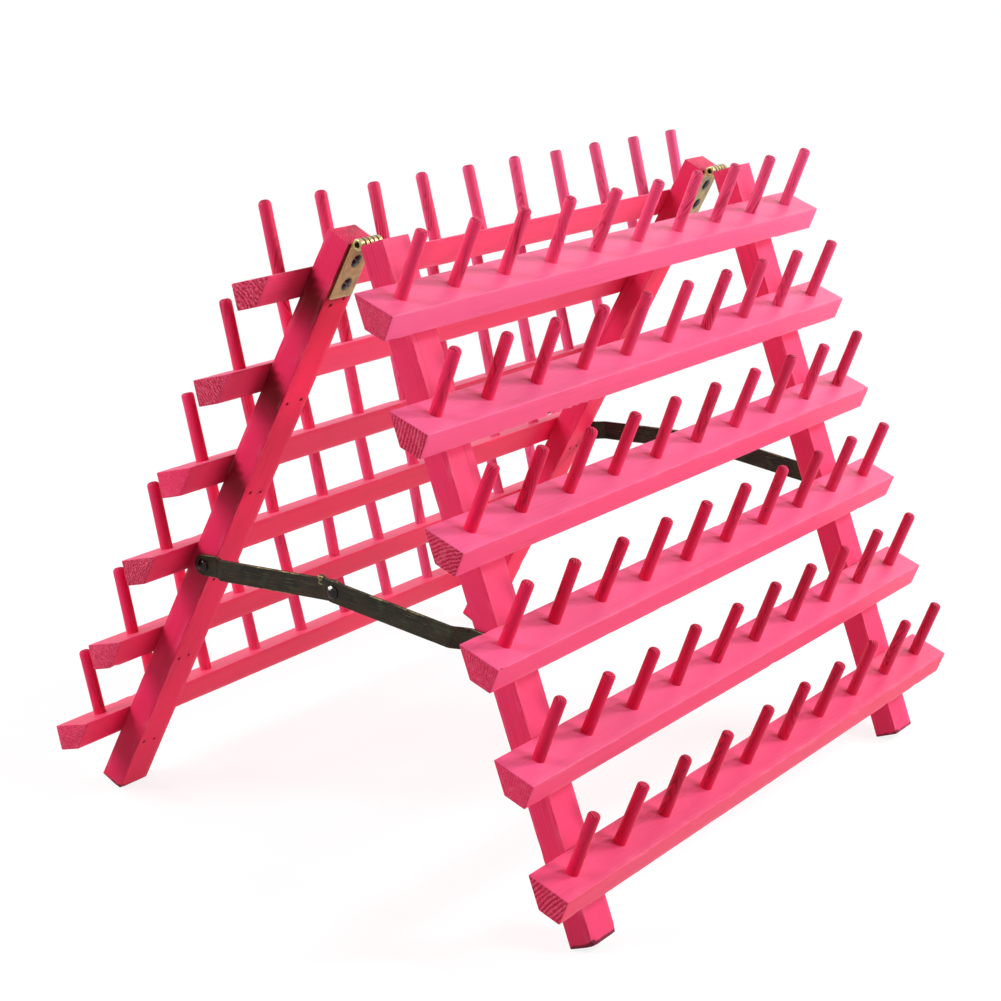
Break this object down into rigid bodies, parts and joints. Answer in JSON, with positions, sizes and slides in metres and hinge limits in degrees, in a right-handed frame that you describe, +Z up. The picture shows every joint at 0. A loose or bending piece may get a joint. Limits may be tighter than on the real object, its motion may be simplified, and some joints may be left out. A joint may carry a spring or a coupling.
{
  "type": "folding thread rack",
  "caption": "Pink folding thread rack: two pegged ladder panels hinged along the top, held open by a bronzed elbow stay at each end, for rows of thread spools.",
  "frame": {"origin": "on the surface the rack stands on, midway between the four feet", "axes": "+X along the rails to the right of the front panel, +Y towards the back panel, +Z up"},
  "size_m": [0.4, 0.3006, 0.3119],
  "materials": {
    "painted_leg": "satin pink paint over pine, thin enough to show the grain",
    "painted_rail": "satin pink paint over pine, end grain showing on the sawn ends",
    "painted_peg": "satin pink paint over round dowel",
    "hinge_brass": "bright brassed steel, lightly worn",
    "bronzed_strap": "dark antique bronze, rubbed through to brass on the edges",
    "dark_screw": "dark bronzed steel",
    "rivet_steel": "polished dark steel",
    "bright_steel": "plain drawn steel"
  },
  "bodies": {
    "back_panel": {"back_left_leg": "painted_leg", "back_right_leg": "painted_leg", "back_rail_1": "painted_rail", "back_rail_2": "painted_rail", "back_rail_3": "painted_rail", "back_rail_4": "painted_rail", "back_rail_5": "painted_rail", "back_rail_6": "painted_rail", "back_pegs_1": "painted_peg", "back_pegs_2": "painted_peg", "back_pegs_3": "painted_peg", "back_pegs_4": "painted_peg", "back_pegs_5": "painted_peg", "back_pegs_6": "painted_peg", "back_brads": "bright_steel", "left_hinge_back_leaf": "hinge_brass", "right_hinge_back_leaf": "hinge_brass", "back_hinge_screws": "dark_screw", "back_stay_screws": "dark_screw", "left_hinge_pin": "hinge_brass", "right_hinge_pin": "hinge_brass"},
    "front_panel": {"front_left_leg": "painted_leg", "front_right_leg": "painted_leg", "front_rail_1": "painted_rail", "front_rail_2": "painted_rail", "front_rail_3": "painted_rail", "front_rail_4": "painted_rail", "front_rail_5": "painted_rail", "front_rail_6": "painted_rail", "front_pegs_1": "painted_peg", "front_pegs_2": "painted_peg", "front_pegs_3": "painted_peg", "front_pegs_4": "painted_peg", "front_pegs_5": "painted_peg", "front_pegs_6": "painted_peg", "front_brads": "bright_steel", "left_hinge_front_leaf": "hinge_brass", "right_hinge_front_leaf": "hinge_brass", "front_hinge_screws": "dark_screw", "front_stay_screws": "dark_screw"},
    "left_back_strap": {"left_stay_back_strap": "bronzed_strap", "left_rivet_tail": "rivet_steel"},
    "left_front_strap": {"left_stay_front_strap": "bronzed_strap", "left_rivet_head": "rivet_steel"},
    "right_back_strap": {"right_stay_back_strap": "bronzed_strap", "right_rivet_tail": "rivet_steel"},
    "right_front_strap": {"right_stay_front_strap": "bronzed_strap", "right_rivet_head": "rivet_steel"}
  },
  "joints": [
    {"name": "panel_fold", "type": "hinge", "parent": "back_panel", "child": "front_panel", "pos_m": [0, 0, 0.29589], "axis": [1, 0, 0], "range_deg": [0, 47.5]},
    {"name": "left_back_stay_swing", "type": "hinge", "parent": "back_panel", "child": "left_back_strap", "pos_m": [-0.17, 0.08059, 0.13087], "axis": [-1, 0, 0], "range_deg": [0, 56.12]},
    {"name": "left_front_stay_swing", "type": "hinge", "parent": "front_panel", "child": "left_front_strap", "pos_m": [-0.17, -0.08059, 0.13087], "axis": [1, 0, 0], "range_deg": [0, 56.12]},
    {"name": "right_back_stay_swing", "type": "hinge", "parent": "back_panel", "child": "right_back_strap", "pos_m": [0.17, 0.08059, 0.13087], "axis": [-1, 0, 0], "range_deg": [0, 56.12]},
    {"name": "right_front_stay_swing", "type": "hinge", "parent": "front_panel", "child": "right_front_strap", "pos_m": [0.17, -0.08059, 0.13087], "axis": [1, 0, 0], "range_deg": [0, 56.12]}
  ],
  "couplings": [
    {"joint": "left_back_stay_swing", "follows": "panel_fold", "ratio": 1.1812},
    {"joint": "left_front_stay_swing", "follows": "panel_fold", "ratio": 1.1812},
    {"joint": "right_back_stay_swing", "follows": "panel_fold", "ratio": 1.1812},
    {"joint": "right_front_stay_swing", "follows": "panel_fold", "ratio": 1.1812}
  ]
}
